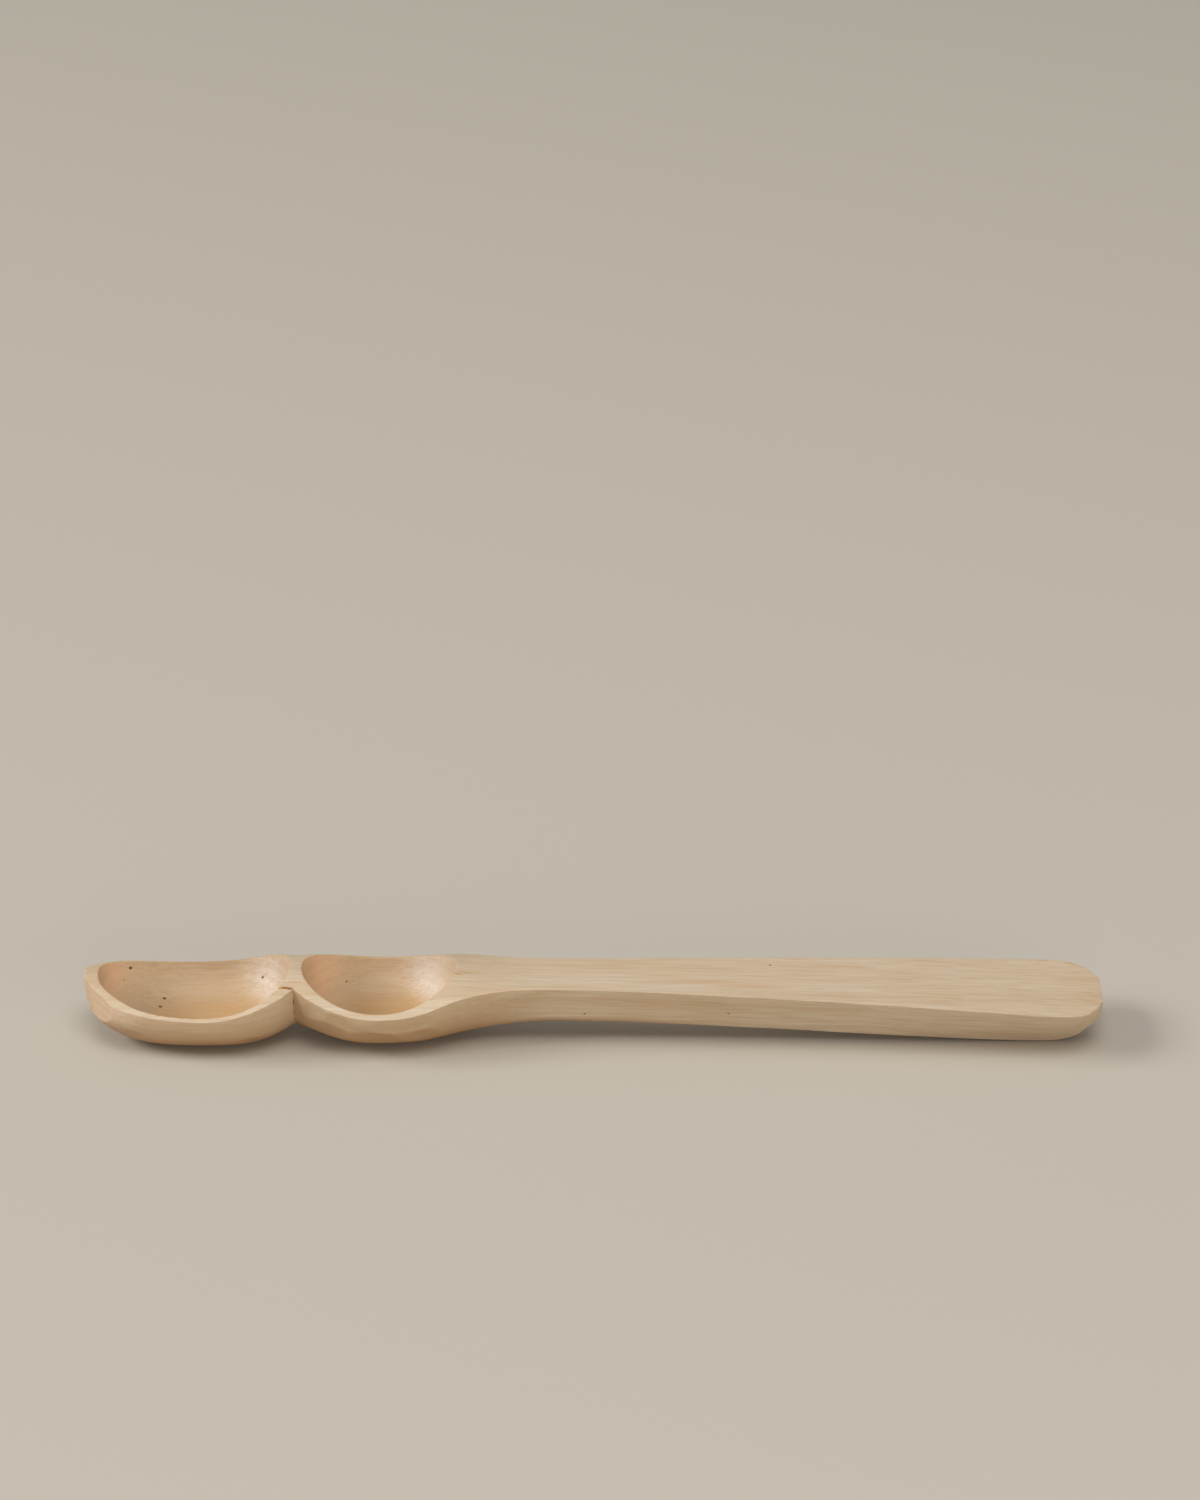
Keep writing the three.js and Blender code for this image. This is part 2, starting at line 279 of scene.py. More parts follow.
# How much the fibres and the end grain add to the wood's roughness
FIBRE_ROUGHNESS = 0.16
END_ROUGHNESS = 0.1

# Height of the grain's relief, and how strongly it shows
RELIEF_HEIGHT = 0.03 * MM
RELIEF_STRENGTH = 0.5

# Side of the floor in metres, and its roughness
FLOOR_SIDE = 6
FLOOR_ROUGHNESS = 0.9

# The lamps, which all shine at the spoon: place, width and depth, in metres
LAMPS = {
    "key_lamp": ((-3.25, -0.3, 2.2), 2.0, 1.4),
    "top_lamp": ((0.25, -1.0, 2.5), 1.6, 1.6),
    "fill_lamp": ((0.6, -1.5, 0.3), 1.6, 0.5),
}

# Height of the camera's sensor, in mm
SENSOR_HEIGHT = 36


def linear(red, green, blue):
    """A colour given as screen values from 0 to 255, as the linear light that a shader takes."""
    def channel(value):
        share = value / 255
        return share / 12.92 if share <= 0.04045 else ((share + 0.055) / 1.055) ** 2.4
    return channel(red), channel(green), channel(blue)


def colour(name, description, red, green, blue):
    """A colour that a user may change, given as screen values."""
    return FloatVectorProperty(
        name=name, description=description, subtype="COLOR", size=3, min=0, max=1,
        default=linear(red, green, blue),
    )


def length(name, description, millimetres):
    """A length that a user may change."""
    return FloatProperty(
        name=name, description=description, unit="LENGTH", precision=5, default=millimetres * MM,
    )


def portion(name, description, default, least=0):
    """A share of 1 that a user may change."""
    return FloatProperty(
        name=name, description=description, subtype="FACTOR", min=least, max=1, default=default,
    )


def angle(name, description, degrees):
    """An angle that a user may change."""
    return FloatProperty(
        name=name, description=description, unit="ROTATION", default=math.radians(degrees),
    )


def passes(name, description, count):
    """A number of strokes that a user may change."""
    return IntProperty(name=name, description=description, default=count)


def power(name, description, watts):
    """A lamp's power that a user may change."""
    return FloatProperty(name=name, description=description, unit="POWER", default=watts)


class SpoonShape(bpy.types.PropertyGroup):
    """How finely and how unevenly the spoon is carved."""

    fineness: length("Fineness", "Longest edge that the worked surface keeps", 0.8)
    sharp: angle("Sharp edge", "Least angle of an edge that is kept crisp", 26)
    wander_depth: length("Wander", "How far the hand strays from the drawn shape", 0.26)
    wander_length: length("Wander length", "Distance over which the hand strays", 17)
    stroke_depth: length("Stroke depth", "Depth of the shallow facet that a knife stroke leaves", 0.14)
    stroke_length: length("Stroke length", "Length of a knife stroke along the spoon", 17)
    stroke_width: length("Stroke width", "Width of a knife stroke across the spoon", 6.5)
    crease: portion("Crease", "Share of the neck's width that the notch is cut to", 0.95, 0.5)
    even_passes: passes("Even passes", "Strokes of fine paper over the upper side", 24)
    edge_passes: passes("Edge passes", "Strokes of fine paper over all edges", 2)
    keel_passes: passes("Keel passes", "Strokes of fine paper over the keel", 14)


class SpoonWood(bpy.types.PropertyGroup):
    """Colours and grain of the wood, and the colours that paint light and shade onto it."""

    # Also painted as the highlight along the upper far wall of each hollow
    pale: colour("Pale wood", "Colour of most of the wood", 211, 192, 166)
    warm: colour("Warm wood", "Colour of the warmer bands along the grain", 204, 179, 148)
    ring: colour("Ring line", "Colour of the thin line that closes a growth ring", 184, 150, 110)
    fleck: colour("Fleck", "Colour of the short flecks along the grain", 172, 136, 98)
    end_grain: colour("End grain", "Colour where the fibres are cut across", 196, 164, 126)
    streak: colour("Streak", "Colour of the tan streaks", 190, 140, 76)
    stain: colour("Stain", "Colour of the stain in the notch", 138, 86, 34)
    # Also paints the shade along the notch's crease as a dark line
    knot_and_crease_shade: colour("Pin knot", "Colour of the pin knots", 52, 24, 8)
    inside: colour("Hollow", "Colour of the wood inside the bowls", 200, 170, 133)
    # Painted warm bounce light in the shade of each hollow's left wall, which faces away from the lamp on the
    # left
    left_wall_bounce: colour("Left wall", "Colour of the wood on the left wall of each hollow", 234, 185, 143)
    # Painted light: the paler colour of each hollow's right wall, which faces the lamp on the left
    right_wall_light: colour("Right wall", "Colour of the paler wood on each hollow's right wall", 226, 212, 196)
    # Painted shade: a darker, warmer colour on the steep outer sides of the bowls
    outside: colour("Outside", "Colour of the wood on the outside of the bowls", 188, 156, 117)
    # Painted shade: a darker, browner colour low on the sides and underneath
    under: colour("Underside", "Colour of the wood low on the sides and underneath", 172, 126, 76)
    tip: colour("Tip", "Colour of the pinkish wood round the tip", 228, 198, 170)
    # Painted shadow: the shade that the front bowl casts on the rear bowl's side behind the notch
    notch: colour("Notch", "Colour of the brown wood behind the notch", 158, 116, 82)
    rim_line: colour("Rim line", "Colour of the thin line along the edge of each hollow", 212, 176, 122)
    # Warm tone along the handle, and painted shade low in the hollows
    blush_and_low_shade: colour("Blush", "Colour of the warm wood low in the hollows and on the handle", 196, 154, 104)
    ring_spacing: length("Ring spacing", "Width of a growth ring", 2.3)
    pith_depth: length("Pith depth", "How far the middle of the tree lies under the spoon", 62)
    pith_side: length("Pith offset", "How far the middle of the tree lies to one side", 5)
    roughness: portion("Roughness", "Roughness of the sanded wood", 0.58)
    gloss: portion("Gloss", "Strength of the wood's gloss", 0.35)


class SpoonStage(bpy.types.PropertyGroup):
    """Floor, light and camera."""

    floor: colour("Floor", "Colour of the floor", 194, 187, 174)
    backdrop: colour("Backdrop", "Colour behind the floor's far edge", 186, 179, 168)
    sky_strength: FloatProperty(name="Sky", description="Strength of the even light all round", default=0.32)
    sky_tint: colour("Sky tint", "Colour of the even light all round", 255, 251, 246)
    key_power: power("Key lamp", "Power of the lamp on the left", 88)
    top_power: power("Top lamp", "Power of the lamp overhead", 28)
    fill_power: power("Fill lamp", "Power of the lamp in front", 8)
    lens: FloatProperty(name="Lens", description="Focal length of the camera, in millimetres", default=102)
    pitch: angle("Pitch", "How far the camera looks down", 23.63)
    eye: FloatVectorProperty(
        name="Eye", description="Where the camera stands", subtype="TRANSLATION", size=3,
        default=(0.00141, -0.82507, 0.4284),
    )


class Field:
    """A socket of a shader. Arithmetic between fields and numbers adds the Math nodes for it."""

    def __init__(self, tree, socket=None):
        self.tree = tree
        self.socket = socket

    def node(self, kind, settings=None, sockets=None, output=0):
        """Adds any other node: first its settings, then the values or links of its sockets."""
        made = self.tree.nodes.new(kind)
        for name, value in (settings or {}).items():
            setattr(made, name, value)
        for name, value in (sockets or {}).items():
            if isinstance(value, Field):
                self.tree.links.new(value.socket, made.inputs[name])
            else:
                made.inputs[name].default_value = value
        return Field(self.tree, made.outputs[output] if made.outputs else None)

    def math(self, operation, first, second=0.0):
        return self.node("ShaderNodeMath", {"operation": operation}, {0: first, 1: second})

    def __add__(self, other):
        return self.math("ADD", self, other)

    def __radd__(self, other):
        return self.math("ADD", other, self)

    def __sub__(self, other):
        return self.math("SUBTRACT", self, other)

    def __rsub__(self, other):
        return self.math("SUBTRACT", other, self)

    def __mul__(self, other):
        return self.math("MULTIPLY", self, other)

    def __rmul__(self, other):
        return self.math("MULTIPLY", other, self)

    def __truediv__(self, other):
        return self.math("DIVIDE", self, other)

    def __pow__(self, other):
        return self.math("POWER", self, other)

    def __abs__(self):
        return self.math("ABSOLUTE", self)

    def fraction(self):
        return self.math("FRACT", self)

    def most(self, other):
        return self.math("MAXIMUM", self, other)

    def step(self, low, high):
        """Goes smoothly from 0 at low to 1 at high; low may be the larger of the two."""
        rising = low < high
        return self.node(
            "ShaderNodeMapRange", {"interpolation_type": "SMOOTHSTEP"},
            {
                "Value": self, "From Min": min(low, high), "From Max": max(low, high),
                "To Min": 0.0 if rising else 1.0, "To Max": 1.0 if rising else 0.0,
            },
        )

    def fade(self, zone):
        """Goes smoothly from 0 to 1 where the named zone of the wood fades in."""
        return self.step(*FADES[zone])

    def scaled(self, scale, shift=(0, 0, 0)):
        """The same coordinates, stretched along each axis and then shifted."""
        return self.node("ShaderNodeMapping", None, {"Vector": self, "Scale": scale, "Location": shift})

    def noise(self, scale, detail=2.0, rough=0.5, shift=(0, 0, 0), cut=None):
        """Soft noise with the given swings per unit along each axis; a cut makes clear patches of it."""
        soft = self.node(
            "ShaderNodeTexNoise", None,
            {"Vector": self.scaled(scale, shift), "Scale": 1.0, "Detail": detail, "Roughness": rough},
        )
        return soft.step(*cut) if cut else soft

    def spot(self, centre, half_length, half_width):
        """1 in the middle of a spot drawn out along the spoon, falling to 0 at its edge."""
        stretch = (1 / half_length, 1 / half_width, 1 / half_width)
        shift = [-place * factor for place, factor in zip(centre, stretch)]
        reach = self.node(
            "ShaderNodeVectorMath", {"operation": "LENGTH"}, {0: self.scaled(stretch, shift)}, "Value",
        )
        return reach.step(1.0, SPOT_CORE)

    def spots(self, places):
        """The strongest of several spots."""
        strongest = self.spot(*places[0])
        for place in places[1:]:
            strongest = strongest.most(self.spot(*place))
        return strongest

    def axis(self, name):
        return self.node("ShaderNodeSeparateXYZ", None, {"Vector": self}, name)

    def between(self, first, second):
        """The first colour where this field is 0, and the second where it is 1."""
        return self.node("ShaderNodeMix", {"data_type": "RGBA"}, {0: self, 6: first, 7: second}, 2)


def blank_shader(owner):
    """Empties the nodes of a material or a world, and gives a field to start from."""
    owner.use_nodes = True
    owner.node_tree.nodes.clear()
    return Field(owner.node_tree)


def rgba(values):
    return (*values, 1.0)


def activate(piece):
    bpy.ops.object.select_all(action="DESELECT")
    piece.select_set(True)
    bpy.context.view_layer.objects.active = piece


def work(piece, name, kind, **settings):
    """Adds one modifier to the active piece and applies it."""
    modifier = piece.modifiers.new(name, kind)
    for key, value in settings.items():
        setattr(modifier, key, value)
    bpy.ops.object.modifier_apply(modifier=modifier.name)


def select(piece, element, test):
    """Leaves the active piece in edit mode, with only the elements that pass the test selected."""
    bpy.ops.object.mode_set(mode="EDIT")
    bpy.ops.mesh.select_mode(type=element)
    bpy.ops.mesh.select_all(action="DESELECT")
    bpy.ops.object.mode_set(mode="OBJECT")
    items = {"FACE": piece.data.polygons, "EDGE": piece.data.edges, "VERT": piece.data.vertices}[element]
    for item in items:
        item.select = test(item)
    bpy.ops.object.mode_set(mode="EDIT")


def group_points(piece, name, test):
    """Makes a group of the active piece's points that pass the test, and gives the group's name."""
    group = piece.vertex_groups.new(name=name)
    select(piece, "VERT", test)
    bpy.ops.object.vertex_group_assign()
    bpy.ops.object.mode_set(mode="OBJECT")
    return group.name


def merge_points(apart):
    """Merges those of the active piece's points that are nearer than this."""
    bpy.ops.object.mode_set(mode="EDIT")
    bpy.ops.mesh.select_all(action="SELECT")
    bpy.ops.mesh.remove_doubles(threshold=apart)
    bpy.ops.object.mode_set(mode="OBJECT")


def shave(piece, facing, depth):
    """Takes a flat knife facet off the place of the active piece that reaches furthest in one direction."""
    way = Vector(facing).normalized()
    reach = max(point.co.dot(way) for point in piece.data.vertices)
    bpy.ops.object.mode_set(mode="EDIT")
    bpy.ops.mesh.select_all(action="SELECT")
    bpy.ops.mesh.bisect(plane_co=way * (reach - depth), plane_no=way, use_fill=True, clear_outer=True)
    bpy.ops.object.mode_set(mode="OBJECT")


def gather_billet():
    """Shaves flats on copies of the three solids, joins them and takes out the faces between them."""
    parts = []
    for name in SOLIDS:
        part = bpy.data.objects.new("spoon", frame["nodes"][name].data.copy())
        part.data.materials.clear()
        bpy.context.scene.collection.objects.link(part)
        activate(part)
        bpy.ops.mesh.customdata_custom_splitnormals_clear()
        merge_points(SAME_POINT)
        for facing, depth in KNIFE_FLATS[name]:
            shave(part, facing, depth * MM)
        parts.append(part)
    for part in parts:
        part.select_set(True)
    bpy.ops.object.join()
    spoon = bpy.context.view_layer.objects.active
    spoon.name = "spoon"
    merge_points(SAME_POINT)

    def on_seam(face):
        near = min(abs(face.center.x - NECK), abs(face.center.x - ROOT))
        return abs(face.normal.x) > SHARED_FACING and near < ON_PLANE

    select(spoon, "FACE", on_seam)
    bpy.ops.mesh.delete(type="FACE")
    bpy.ops.object.mode_set(mode="OBJECT")
    return spoon


def skew_end(spoon, start, side, fade, turn, draw):
    """Turns one end of the spoon a little, seen from above, and draws it along, so that it isn't square."""
    outward = 1 if start > 0 else -1
    select(spoon, "VERT", lambda point: outward * (point.co.x - start) > 0)
    soft = {"use_proportional_edit": True, "proportional_edit_falloff": "SMOOTH", "proportional_size": fade}
    bpy.ops.transform.rotate(value=turn, orient_axis="Z", center_override=(start, side, 0), **soft)
    bpy.ops.transform.translate(value=(draw, 0, 0), **soft)
    bpy.ops.object.mode_set(mode="OBJECT")


def cut_crease(spoon, width):
    """Draws the sides of the neck in to this share of its width, which deepens the notch between the bowls."""
    select(spoon, "VERT", lambda point: abs(point.co.x - NECK) < ON_PLANE)
    bpy.ops.transform.resize(value=(1, width, 1), center_override=(NECK, 0, 0))
    bpy.ops.object.mode_set(mode="OBJECT")


def select_sharp(least, rows):
    """Leaves only the sharp edges selected, and some rows of points along them, in edit mode."""
    bpy.ops.object.mode_set(mode="EDIT")
    bpy.ops.mesh.select_mode(type="EDGE")
    bpy.ops.mesh.select_all(action="DESELECT")
    bpy.ops.mesh.edges_select_sharp(sharpness=least)
    bpy.ops.mesh.select_mode(type="VERT")
    for _ in range(rows):
        bpy.ops.mesh.select_more()


def search_tree(piece, selected):
    """A tree that finds the nearest of a piece's faces, among those that are selected or those that aren't."""
    places = [point.co for point in piece.data.vertices]
    faces = [face.vertices[:] for face in piece.data.polygons if face.select == selected]
    return BVHTree.FromPolygons(places, faces)


def find_hollows(spoon, sharp):
    """Search trees of the two hollows, as far as the edge that closes each, and of the rest of the surface."""
    select_sharp(sharp, 0)
    bpy.ops.mesh.mark_sharp()
    bpy.ops.object.mode_set(mode="OBJECT")

    def on_floor(face):
        near = min(abs(face.center.x - middle) for middle in HOLLOW_MIDDLES)
        return face.normal.z > FLOOR_FACING and max(near, abs(face.center.y)) < FLOOR_REACH

    select(spoon, "FACE", on_floor)
    bpy.ops.mesh.select_linked(delimit={"SHARP"})
    bpy.ops.object.mode_set(mode="OBJECT")
    return search_tree(spoon, True), search_tree(spoon, False)


def map_surface(spoon, hollows, rest):
    """Keeps two maps for the finish to read: how far a point is from the hollows and from the rest, in mm."""
    for name, tree in (("hollow_gap", hollows), ("rest_gap", rest)):
        layer = spoon.data.attributes.new(name, "FLOAT", "POINT")
        for point, gap in zip(spoon.data.vertices, layer.data):
            _, _, _, distance = tree.find_nearest(point.co)
            gap.value = distance / MM


def even_faces(spoon):
    """Takes out the thinnest faces: points that almost touch merge, and edges are turned the shorter way."""
    merge_points(ALMOST_TOUCHING)
    bpy.ops.object.mode_set(mode="EDIT")
    bpy.ops.mesh.select_all(action="SELECT")
    bpy.ops.mesh.quads_convert_to_tris(ngon_method="BEAUTY")
    bpy.ops.mesh.dissolve_degenerate(threshold=SLIVER)
    bpy.ops.mesh.quads_convert_to_tris(ngon_method="BEAUTY")
    bpy.ops.mesh.beautify_fill(angle_limit=TURNING_BEND)
    bpy.ops.mesh.select_mode(type="VERT")
    bpy.ops.mesh.select_all(action="DESELECT")
    bpy.ops.mesh.select_non_manifold()
    bpy.ops.object.mode_set(mode="OBJECT")
    if any(point.select for point in spoon.data.vertices):
        raise RuntimeError("the joined spoon isn't closed: a knife flat reaches the solids' shared faces")


def refine(spoon, longest):
    """Splits edges until hardly any is longer than the given length, which leaves the shape as it is."""
    def too_long(edge):
        first, second = [spoon.data.vertices[index].co for index in edge.vertices]
        return (first - second).length > longest

    for _ in range(SPLIT_ROUNDS):
        select(spoon, "EDGE", too_long)
        bpy.ops.mesh.subdivide(number_cuts=1)
        bpy.ops.mesh.select_all(action="SELECT")
        bpy.ops.mesh.quads_convert_to_tris(quad_method="SHORTEST_DIAGONAL", ngon_method="BEAUTY")
    bpy.ops.mesh.dissolve_degenerate(threshold=FINE_SLIVER)
    bpy.ops.object.mode_set(mode="OBJECT")


def stray(spoon, shape):
    """Lets the whole surface stray a little from the drawn shape, as a hand does."""
    wander = bpy.data.textures.new("wander", "CLOUDS")
    wander.noise_scale = shape.wander_length
    wander.noise_depth = 1
    work(
        spoon, "wander", "DISPLACE", texture=wander, texture_coords="LOCAL",
        strength=shape.wander_depth, mid_level=UNMOVED,
    )


def leave_strokes(spoon, shape):
    """Leaves the knife's strokes on the underside."""
    strokes = bpy.data.textures.new("strokes", "VORONOI")
    strokes.noise_scale = 1
    bpy.ops.object.empty_add(location=(0, 0, 0))
    gauge = bpy.context.view_layer.objects.active
    gauge.scale = (shape.stroke_length, shape.stroke_width, shape.stroke_width)
    bpy.context.view_layer.update()
    activate(spoon)
    underside = group_points(spoon, "underside", lambda point: point.normal.z < LOWER_FACING)
    work(
        spoon, "strokes", "DISPLACE", texture=strokes, texture_coords="OBJECT", texture_coords_object=gauge,
        strength=shape.stroke_depth, mid_level=UNMOVED, vertex_group=underside,
    )
    spoon.vertex_groups.clear()
    bpy.data.objects.remove(gauge)


def carve_surface(spoon, shape):
    """Works the surface over finely and leaves the hand's wander and the knife's strokes in it."""
    even_faces(spoon)
    hollows, rest = find_hollows(spoon, shape.sharp)
    refine(spoon, shape.fineness)
    map_surface(spoon, hollows, rest)
    stray(spoon, shape)
    leave_strokes(spoon, shape)


def sand(spoon, shape):
    """Evens the upper side between its edges, and the flat keel; then eases all the edges a little."""
    even = group_points(spoon, "even", lambda point: point.normal.z > UPPER_FACING)
    select_sharp(shape.sharp, 1)
    bpy.ops.object.vertex_group_remove_from()
    bpy.ops.object.mode_set(mode="OBJECT")
    work(spoon, "even", "SMOOTH", factor=PAPER_BITE, iterations=shape.even_passes, vertex_group=even)
    spoon.vertex_groups.clear()

    def on_keel(point):
        return point.co.x > ROOT - KEEL_LEAD and point.normal.z < KEEL_FACING

    keel = group_points(spoon, "keel", on_keel)
    work(spoon, "keel", "SMOOTH", factor=PAPER_BITE, iterations=shape.keel_passes, vertex_group=keel)
    work(spoon, "edges", "SMOOTH", factor=PAPER_BITE, iterations=shape.edge_passes)
    spoon.vertex_groups.clear()


def settle(spoon):
    """Presses flat whatever the carving left under the table's height."""
    select(spoon, "VERT", lambda point: point.co.z < 0)
    bpy.ops.transform.resize(value=(1, 1, 0), center_override=(0, 0, 0))
    bpy.ops.object.mode_set(mode="OBJECT")


class WoodPoint:
    """What the finish knows of a point of the wood, as fields that its layers share."""

    def __init__(self, start):
        self.where = start.node("ShaderNodeTexCoord", output="Object").scaled((1 / MM, 1 / MM, 1 / MM))
        self.along, self.across, self.height = [self.where.axis(name) for name in "XYZ"]
        self.behind_neck = self.along - NECK / MM

        normal = start.node("ShaderNodeTexCoord", output="Normal")
        self.to_handle, self.to_back, self.to_top = [normal.axis(name) for name in "XYZ"]
        self.steep = 1.0 - abs(self.to_top)
        self.cut_across = abs(self.to_handle).fade("cut_across")

        self.hollow_gap = start.node("ShaderNodeAttribute", {"attribute_name": "hollow_gap"}, output="Fac")
        self.rest_gap = start.node("ShaderNodeAttribute", {"attribute_name": "rest_gap"}, output="Fac")
        self.hollow = self.rest_gap.fade("hollow")

        self.patch = self.grain("patch")
        self.fibre = self.grain("fibre")
        self.hair = self.grain("hair")
        self.knots = self.where.spots([(centre, KNOT_STRETCH * size, size) for centre, size in PIN_KNOTS])

    def grain(self, name):
        """One of the wood's named noises."""
        return self.where.noise(**GRAIN[name])


def zone_layers(point, look):
    """Layers of colour that follow the spoon's form, each with its share: the outside, then the hollows.
    Besides warm grain bands and the warm tone along the handle, they paint shade on the bowls' outer sides,
    behind the notch, underneath and low in the hollows, warm bounce light in the shade of the hollows' left
    walls, and light on their right walls and along their upper far walls.
    """
    flank = point.steep.fade("flank") * (1.0 - point.hollow)
    # Painted shade on the steep outer sides of the bowls
    outside = flank * point.along.fade("bowls_from_handle") * point.along.fade("bowls_from_tip")
    tip = flank * point.along.fade("tip")
    # Painted shadow of the front bowl on the rear bowl's side, just behind the neck
    notch = flank * point.behind_neck.fade("notch_from_behind") * point.behind_neck.fade("notch_from_ahead")
    # Painted shade on the surfaces that face down, fading out towards the handle's end
    under = point.to_top.fade("under") * point.along.fade("under_from_handle")

    # Painted warm bounce light in the shade of the hollows' walls that face away from the lamp on the left
    left_wall = point.hollow * point.to_handle.fade("left_wall")
    # Painted light on the hollows' walls that face the lamp on the left
    right_wall = point.hollow * (point.to_handle + point.to_back * RIGHT_WALL_TURN).fade("right_wall")
    # Painted highlight, in the pale colour, along the upper far wall of each hollow near its rim
    far_wall = point.to_back.fade("far_wall") * point.to_handle.fade("far_from_left")
    brow_highlight = point.hollow * point.rest_gap.fade("brow_highlight") * far_wall
    fainter = 1.0 - point.along.fade("handle") * 0.4
    # Warm tone on the handle, and painted shade low in the hollows
    blush_and_low_shade = point.where.spots(BLUSHES_AND_LOW_SHADE) * fainter
    return [
        (point.grain("band") * 0.75, look.warm),
        (outside * 0.6, look.outside),
        (tip * 0.7, look.tip),
        (notch * 0.4, look.notch),
        (under * 0.85, look.under),
        (point.hollow * 0.8, look.inside),
        (left_wall * 0.8, look.left_wall_bounce),
        (right_wall * 0.9, look.right_wall_light),
        (brow_highlight * 0.5, look.pale),
        (blush_and_low_shade * (point.patch * 0.3 + 0.55), look.blush_and_low_shade),
    ]


def growth_rings(point, look):
    """The thin dark lines that close the growth rings, which lie round the middle of the tree."""
    side = point.across - look.pith_side / MM
    depth = point.height + look.pith_depth / MM
    radius = (side * side + depth * depth) ** 0.5
    strayed = radius + point.grain("drift") * RING_DRIFT + point.along * RING_DIP
    turn = (strayed / (look.ring_spacing / MM) + point.grain("uneven") * RING_UNEVENNESS).fraction()
    return turn.fade("ring_rise") * turn.fade("ring_fall") * (point.steep * 0.8 + 0.2)


def grain_layers(point, look):
    """Layers of colour that follow the grain, each with its share."""
    lengthwise = 1.0 - abs(point.to_handle).fade("turned_away") * 0.7
    lines = point.grain("line") * lengthwise
    threads = point.grain("thread") * lengthwise
    near_end = abs(point.along).fade("ends")
    return [
        (lines * (point.steep * 0.1 + point.hollow * 0.2 + 0.22), look.ring),
        (threads * 0.32, look.ring),
        (growth_rings(point, look) * (point.patch * 0.2 + 0.12), look.ring),
        (point.fibre.fade("fibre") * 0.45, look.ring),
        (point.grain("fleck") * point.patch * 0.4, look.fleck),
        ((point.cut_across * 0.45).most(near_end * (point.hair * 0.4 + 0.1)), look.end_grain),
    ]


def mark_layers(point, look):
    """Layers of colour for single marks, each with its share: streaks, rims, the notch's stains, painted shade
    along the notch's crease, and knots.
    """
    rim = point.hollow_gap.most(point.rest_gap).fade("rim")
    # Painted shade: a broken dark line along the crease of the notch
    low = point.height.fade("crease_from_top") * abs(point.across).fade("crease_from_middle")
    crease = abs(point.behind_neck).fade("crease") * low * (point.grain("broken") * 0.75 + 0.15)
    return [
        (point.where.spots(TAN_STREAKS) * (point.hair * 0.6 + 0.35), look.streak),
        (rim * 0.4, look.rim_line),
        (point.where.spots(NOTCH_STAINS) * 0.85, look.stain),
        (crease * 0.9, look.knot_and_crease_shade),
        (point.knots * 0.95, look.knot_and_crease_shade),
    ]


def wood_finish(look):
    """Pale wood: layers of colour over each other, some of them painted light and shade, fine fibres along the
    spoon and a slight relief.
    """
    material = bpy.data.materials.new("carved_wood")
    start = blank_shader(material)
    point = WoodPoint(start)
    tint = rgba(look.pale)
    for amount, shade in zone_layers(point, look) + grain_layers(point, look) + mark_layers(point, look):
        tint = amount.between(tint, rgba(shade))
    relief = point.fibre * 0.6 + point.hair * 0.4 - point.knots
    bump = start.node(
        "ShaderNodeBump", None, {"Height": relief, "Strength": RELIEF_STRENGTH, "Distance": RELIEF_HEIGHT},
    )
    smoothest = look.roughness - FIBRE_ROUGHNESS / 2
    surface = start.node("ShaderNodeBsdfPrincipled", None, {
        "Base Color": tint,
        "Roughness": point.fibre * FIBRE_ROUGHNESS + point.cut_across * END_ROUGHNESS + smoothest,
        "Specular IOR Level": look.gloss,
        "Normal": bump,
    })
    start.node("ShaderNodeOutputMaterial", None, {"Surface": surface})
    return material


def floor_paint(values):
    """One even matt colour, for the floor."""
    material = bpy.data.materials.new("floor_paint")
    start = blank_shader(material)
    surface = start.node(
        "ShaderNodeBsdfPrincipled", None, {"Base Color": rgba(values), "Roughness": FLOOR_ROUGHNESS},
    )
    start.node("ShaderNodeOutputMaterial", None, {"Surface": surface})
    return material


def even_sky(look):
    """An even light all round, with the backdrop's colour where the camera looks straight at it."""
    world = bpy.data.worlds.new("even_sky")
    start = blank_shader(world)
    light, seen = [
        start.node("ShaderNodeBackground", None, {"Color": rgba(values), "Strength": strength})
        for values, strength in ((look.sky_tint, look.sky_strength), (look.backdrop, 1.0))
    ]
    camera_ray = start.node("ShaderNodeLightPath", output="Is Camera Ray")
    either = start.node("ShaderNodeMixShader", None, {0: camera_ray, 1: light, 2: seen})
    start.node("ShaderNodeOutputWorld", None, {"Surface": either})
    return world


def add_lamp(name, watts):
    """One soft rectangular lamp that shines at the spoon."""
    place, width, depth = LAMPS[name]
    bpy.ops.object.light_add(type="AREA", location=place)
    lamp = bpy.context.view_layer.objects.active
    lamp.name = name
    lamp.rotation_euler = (-Vector(place)).to_track_quat("-Z", "Y").to_euler()
    lamp.data.shape = "RECTANGLE"
    lamp.data.size = width
    lamp.data.size_y = depth
    lamp.data.energy = watts


class SPOON_OT_carve(bpy.types.Operator):
    """Carve the spoon from the frame's three solids, as one piece of wood"""

    bl_idname = "spoon.carve"
    bl_label = "Carve the spoon"

    def execute(self, context):
        shape = context.scene.spoon_shape
        spoon = gather_billet()
        for (start, side), fade, turn, draw in SKEWED_ENDS:
            skew_end(spoon, start * MM, side * MM, fade * MM, math.radians(turn), draw * MM)
        cut_crease(spoon, shape.crease)
        for facing, depth in SHAVED_CORNERS:
            shave(spoon, facing, depth * MM)
        carve_surface(spoon, shape)
        sand(spoon, shape)
        settle(spoon)
        bpy.ops.object.shade_smooth_by_angle(angle=shape.sharp)
        spoon.data.materials.append(wood_finish(context.scene.spoon_wood))
        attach(spoon, "root")
        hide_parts(*SOLIDS)
        return {"FINISHED"}


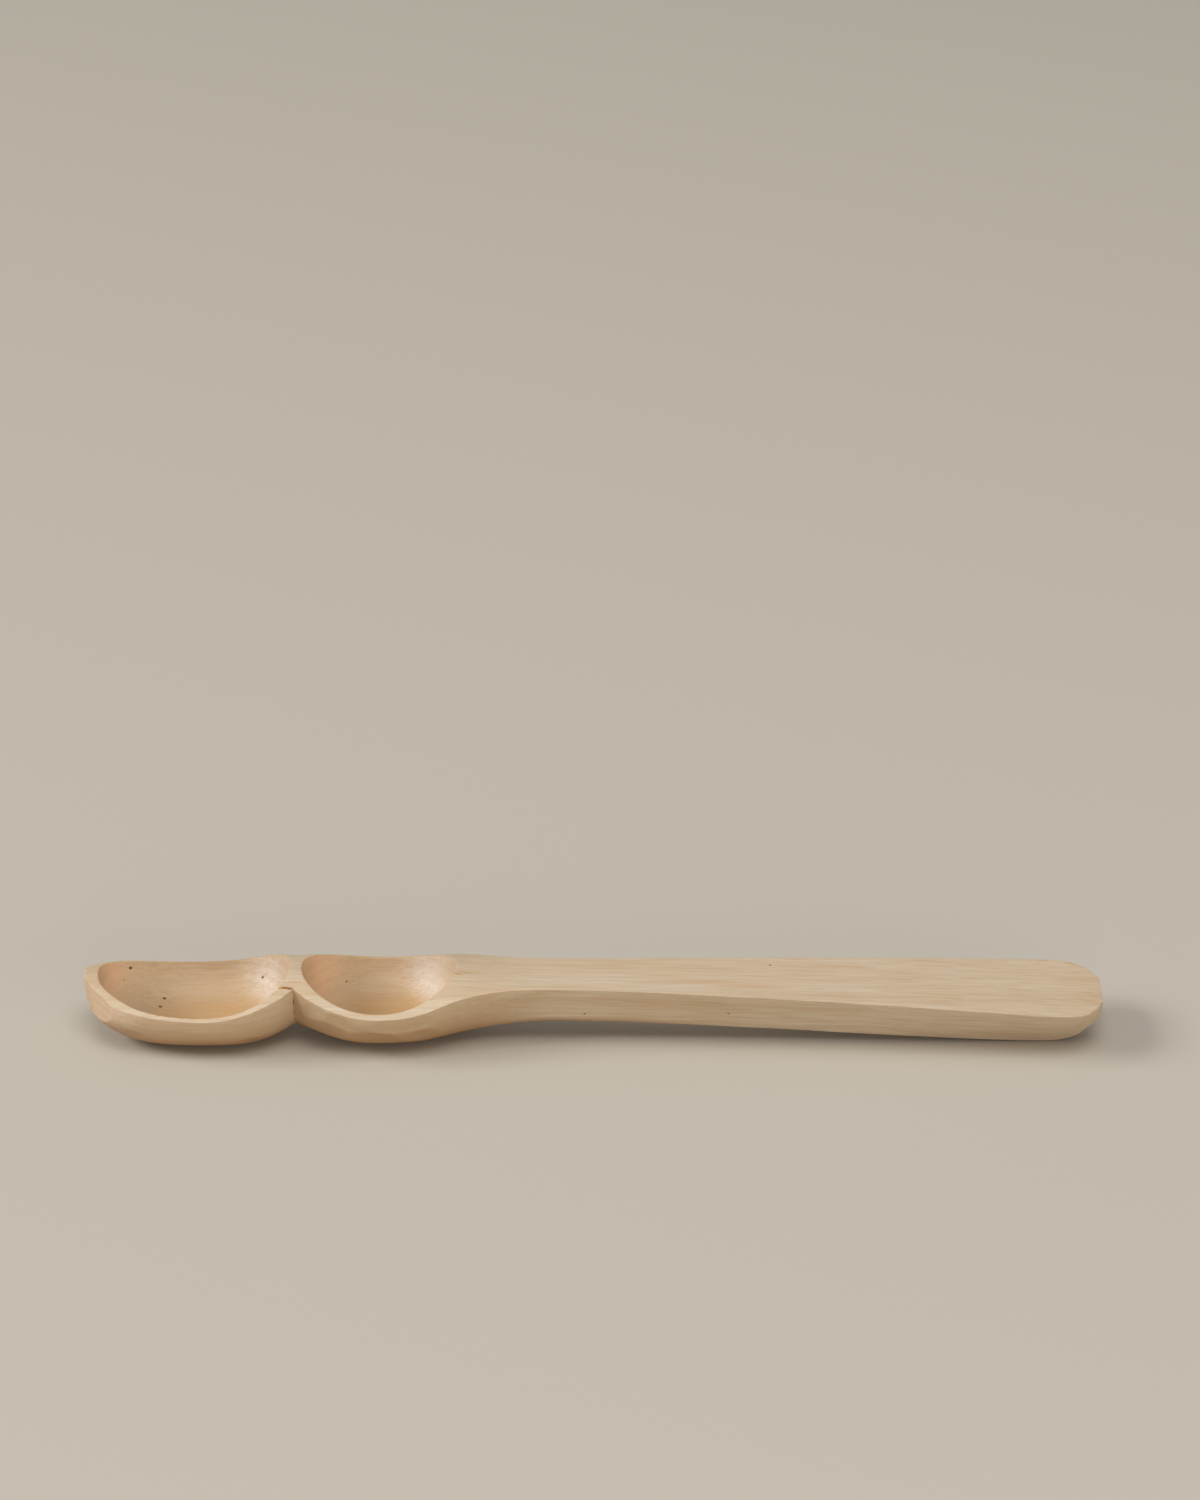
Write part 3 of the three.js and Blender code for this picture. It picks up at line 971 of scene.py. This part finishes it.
class SPOON_OT_stage(bpy.types.Operator):
    """Add the floor, the light and the camera"""

    bl_idname = "spoon.stage"
    bl_label = "Set the stage"

    def execute(self, context):
        look = context.scene.spoon_stage
        bpy.ops.mesh.primitive_plane_add(size=FLOOR_SIDE)
        floor = context.view_layer.objects.active
        floor.name = "floor"
        floor.data.materials.append(floor_paint(look.floor))
        context.scene.world = even_sky(look)
        add_lamp("key_lamp", look.key_power)
        add_lamp("top_lamp", look.top_power)
        add_lamp("fill_lamp", look.fill_power)
        bpy.ops.object.camera_add(location=look.eye, rotation=(math.pi / 2 - look.pitch, 0, 0))
        camera = context.view_layer.objects.active
        camera.data.sensor_fit = "VERTICAL"
        camera.data.sensor_height = SENSOR_HEIGHT
        camera.data.lens = look.lens
        context.scene.camera = camera
        context.scene.view_settings.view_transform = "Standard"
        return {"FINISHED"}


class SPOON_PT_panel(bpy.types.Panel):
    """The spoon's operators and settings"""

    bl_idname = "SPOON_PT_panel"
    bl_label = "Carved spoon"
    bl_space_type = "VIEW_3D"
    bl_region_type = "UI"
    bl_category = "Spoon"

    def draw(self, context):
        for operator, settings in (
            (SPOON_OT_carve, context.scene.spoon_shape),
            (None, context.scene.spoon_wood),
            (SPOON_OT_stage, context.scene.spoon_stage),
        ):
            box = self.layout.box()
            if operator:
                box.operator(operator.bl_idname)
            for name in settings.__annotations__:
                box.prop(settings, name)


CLASSES = (SpoonShape, SpoonWood, SpoonStage, SPOON_OT_carve, SPOON_OT_stage, SPOON_PT_panel)


def register():
    for cls in CLASSES:
        bpy.utils.register_class(cls)
    bpy.types.Scene.spoon_shape = PointerProperty(type=SpoonShape)
    bpy.types.Scene.spoon_wood = PointerProperty(type=SpoonWood)
    bpy.types.Scene.spoon_stage = PointerProperty(type=SpoonStage)


def unregister():
    del bpy.types.Scene.spoon_stage
    del bpy.types.Scene.spoon_wood
    del bpy.types.Scene.spoon_shape
    for cls in reversed(CLASSES):
        bpy.utils.unregister_class(cls)


def main():
    register()
    bpy.ops.spoon.carve()
    bpy.ops.spoon.stage()


if __name__ == "__main__":
    main()
